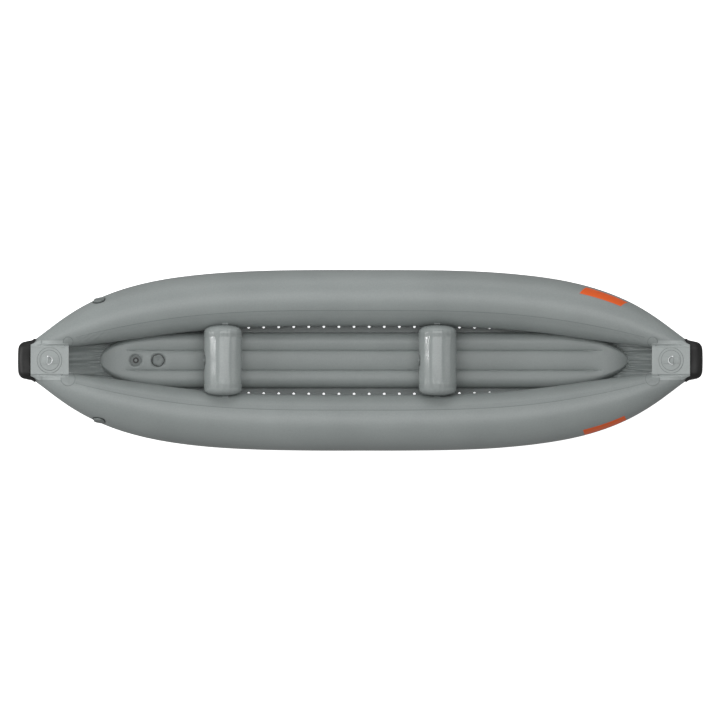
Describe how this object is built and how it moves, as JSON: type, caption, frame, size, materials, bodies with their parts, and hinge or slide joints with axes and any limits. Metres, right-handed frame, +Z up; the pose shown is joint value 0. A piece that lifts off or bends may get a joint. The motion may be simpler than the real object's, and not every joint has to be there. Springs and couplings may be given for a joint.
{
  "type": "inflatable kayak",
  "caption": "Two-seat inflatable kayak: two tapering side tubes, ribbed self-bailing air floor, cross thwarts, moulded end caps, tow rings and push-twist valves.",
  "frame": {"origin": "on the ground under the middle of the hull's length and width", "axes": "+X towards the bow, +Y towards port, +Z up; millimetres in the source, metres here"},
  "size_m": [3.8092, 1.0046, 0.4298],
  "materials": {
    "tube_fabric": "satin coated fabric, mid grey",
    "floor_fabric": "satin coated fabric, mid grey",
    "thwart_fabric": "satin coated fabric, mid grey",
    "bottom_fabric": "satin coated fabric, mid grey",
    "deck_fabric": "smooth coated fabric, grey",
    "patch_fabric": "rubber-coated reinforcement fabric, grey",
    "seam_tape": "glued coated tape, grey",
    "beam_web": "woven web, pale grey",
    "flash": "printed film, orange",
    "cap_moulding": "moulded rubber, black, satin",
    "valve_plastic": "moulded nylon, grey",
    "cap_plastic": "moulded nylon, grey",
    "valve_black": "moulded, black",
    "spring_steel": "spring wire",
    "ring_steel": "polished stainless steel"
  },
  "bodies": {
    "hull": {"port_tube": "tube_fabric", "port_seam_tape": "seam_tape", "port_flash": "flash", "port_i_beam": "beam_web", "port_bailing_strip": "bottom_fabric", "starboard_tube": "tube_fabric", "starboard_seam_tape": "seam_tape", "starboard_flash": "flash", "starboard_i_beam": "beam_web", "starboard_bailing_strip": "bottom_fabric", "bow_end_cap": "cap_moulding", "bow_deck_panel": "deck_fabric", "bow_corner_patches": "patch_fabric", "bow_ring_patch": "patch_fabric", "bow_ring_strap": "patch_fabric", "bow_bottom_sheet": "bottom_fabric", "stern_end_cap": "cap_moulding", "stern_deck_panel": "deck_fabric", "stern_corner_patches": "patch_fabric", "stern_ring_patch": "patch_fabric", "stern_ring_strap": "patch_fabric", "stern_bottom_sheet": "bottom_fabric", "rear_thwart": "thwart_fabric", "rear_thwart_bands": "seam_tape", "rear_thwart_ties": "patch_fabric", "front_thwart": "thwart_fabric", "front_thwart_bands": "seam_tape", "front_thwart_ties": "patch_fabric", "port_tube_valve_body": "valve_plastic", "port_tube_valve_spring": "spring_steel", "starboard_tube_valve_body": "valve_plastic", "starboard_tube_valve_spring": "spring_steel", "floor_valve_body": "valve_plastic", "floor_valve_spring": "spring_steel", "rear_thwart_valve_body": "valve_plastic", "rear_thwart_valve_spring": "spring_steel", "front_thwart_valve_body": "valve_plastic", "front_thwart_valve_spring": "spring_steel", "floor": "floor_fabric", "valve_back_nuts": "valve_plastic", "relief_body": "valve_plastic", "relief_spring": "spring_steel", "relief_back_nut": "valve_plastic"},
    "port_tube_valve_cap": {"port_tube_valve_cap": "cap_plastic"},
    "port_tube_valve_plunger": {"port_tube_valve_plunger": "valve_black"},
    "starboard_tube_valve_cap": {"starboard_tube_valve_cap": "cap_plastic"},
    "starboard_tube_valve_plunger": {"starboard_tube_valve_plunger": "valve_black"},
    "floor_valve_cap": {"floor_valve_cap": "cap_plastic"},
    "floor_valve_plunger": {"floor_valve_plunger": "valve_black"},
    "rear_thwart_valve_cap": {"rear_thwart_valve_cap": "cap_plastic"},
    "rear_thwart_valve_plunger": {"rear_thwart_valve_plunger": "valve_black"},
    "front_thwart_valve_cap": {"front_thwart_valve_cap": "cap_plastic"},
    "front_thwart_valve_plunger": {"front_thwart_valve_plunger": "valve_black"},
    "relief_poppet": {"relief_poppet": "valve_black", "relief_button": "cap_plastic"},
    "bow_d_ring": {"bow_d_ring": "ring_steel"},
    "stern_d_ring": {"stern_d_ring": "ring_steel"}
  },
  "joints": [
    {"name": "port_tube_valve_cap_off", "type": "slide", "parent": "hull", "child": "port_tube_valve_cap", "axis": [-0.1942, 0.9227, 0.3331], "range_m": [0, 0.03]},
    {"name": "port_tube_valve_plunger_push", "type": "slide", "parent": "hull", "child": "port_tube_valve_plunger", "axis": [0.1942, -0.9227, -0.3331], "range_m": [0, 0.005], "stiffness_N_per_m": 300, "springref_m": -0.002, "deforming": ["port_tube_valve_spring"]},
    {"name": "starboard_tube_valve_cap_off", "type": "slide", "parent": "hull", "child": "starboard_tube_valve_cap", "axis": [-0.1942, -0.9227, 0.3331], "range_m": [0, 0.03]},
    {"name": "starboard_tube_valve_plunger_push", "type": "slide", "parent": "hull", "child": "starboard_tube_valve_plunger", "axis": [0.1942, 0.9227, -0.3331], "range_m": [0, 0.005], "stiffness_N_per_m": 300, "springref_m": -0.002, "deforming": ["starboard_tube_valve_spring"]},
    {"name": "floor_valve_cap_off", "type": "slide", "parent": "hull", "child": "floor_valve_cap", "axis": [0.1543, 0, 0.988], "range_m": [0, 0.03]},
    {"name": "floor_valve_plunger_push", "type": "slide", "parent": "hull", "child": "floor_valve_plunger", "axis": [-0.1543, 0, -0.988], "range_m": [0, 0.005], "stiffness_N_per_m": 300, "springref_m": -0.002, "deforming": ["floor_valve_spring"]},
    {"name": "rear_thwart_valve_cap_off", "type": "slide", "parent": "hull", "child": "rear_thwart_valve_cap", "axis": [-1, 0, 0], "range_m": [0, 0.03]},
    {"name": "rear_thwart_valve_plunger_push", "type": "slide", "parent": "hull", "child": "rear_thwart_valve_plunger", "axis": [1, 0, 0], "range_m": [0, 0.005], "stiffness_N_per_m": 300, "springref_m": -0.002, "deforming": ["rear_thwart_valve_spring"]},
    {"name": "front_thwart_valve_cap_off", "type": "slide", "parent": "hull", "child": "front_thwart_valve_cap", "axis": [-1, 0, 0], "range_m": [0, 0.03]},
    {"name": "front_thwart_valve_plunger_push", "type": "slide", "parent": "hull", "child": "front_thwart_valve_plunger", "axis": [1, 0, 0], "range_m": [0, 0.005], "stiffness_N_per_m": 300, "springref_m": -0.002, "deforming": ["front_thwart_valve_spring"]},
    {"name": "relief_poppet_lift", "type": "slide", "parent": "hull", "child": "relief_poppet", "axis": [0.1894, 0, 0.9819], "range_m": [0, 0.004], "stiffness_N_per_m": 400, "springref_m": -0.003, "deforming": ["relief_spring"]},
    {"name": "bow_d_ring_swing", "type": "hinge", "parent": "hull", "child": "bow_d_ring", "pos_m": [1.73825, 0, 0.4107], "axis": [0, 1, 0], "range_deg": [0, 180]},
    {"name": "stern_d_ring_swing", "type": "hinge", "parent": "hull", "child": "stern_d_ring", "pos_m": [-1.73825, 0, 0.4107], "axis": [0, -1, 0], "range_deg": [0, 180]}
  ]
}
